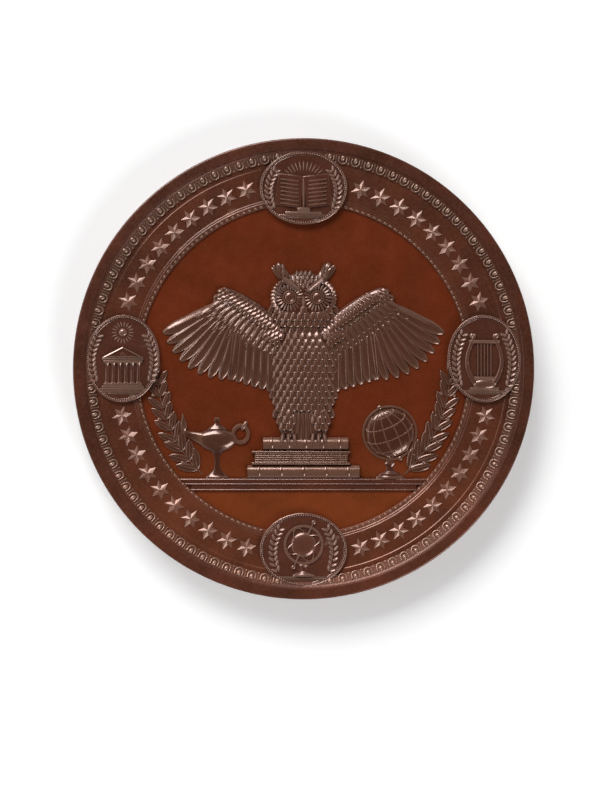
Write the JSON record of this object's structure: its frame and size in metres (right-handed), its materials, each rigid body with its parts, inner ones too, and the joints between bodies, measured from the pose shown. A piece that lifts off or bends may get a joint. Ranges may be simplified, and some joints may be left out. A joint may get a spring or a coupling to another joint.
{
  "type": "struck bronze prize medallion",
  "caption": "Round struck bronze medallion with a moulded border of stars and four oval roundels, a sunk relief field and a plain reverse.",
  "frame": {"origin": "middle of the flat reverse, on the plane that the medallion lies on", "axes": "+Z out of the obverse, +Y to the top of the design, +X to its right as the obverse is read"},
  "size_m": [0.0762, 0.0762, 0.0064],
  "materials": {
    "bronze": "brown patinated bronze, satin, lighter on the worn high points"
  },
  "bodies": {
    "root": {"medal": "bronze"}
  },
  "joints": []
}
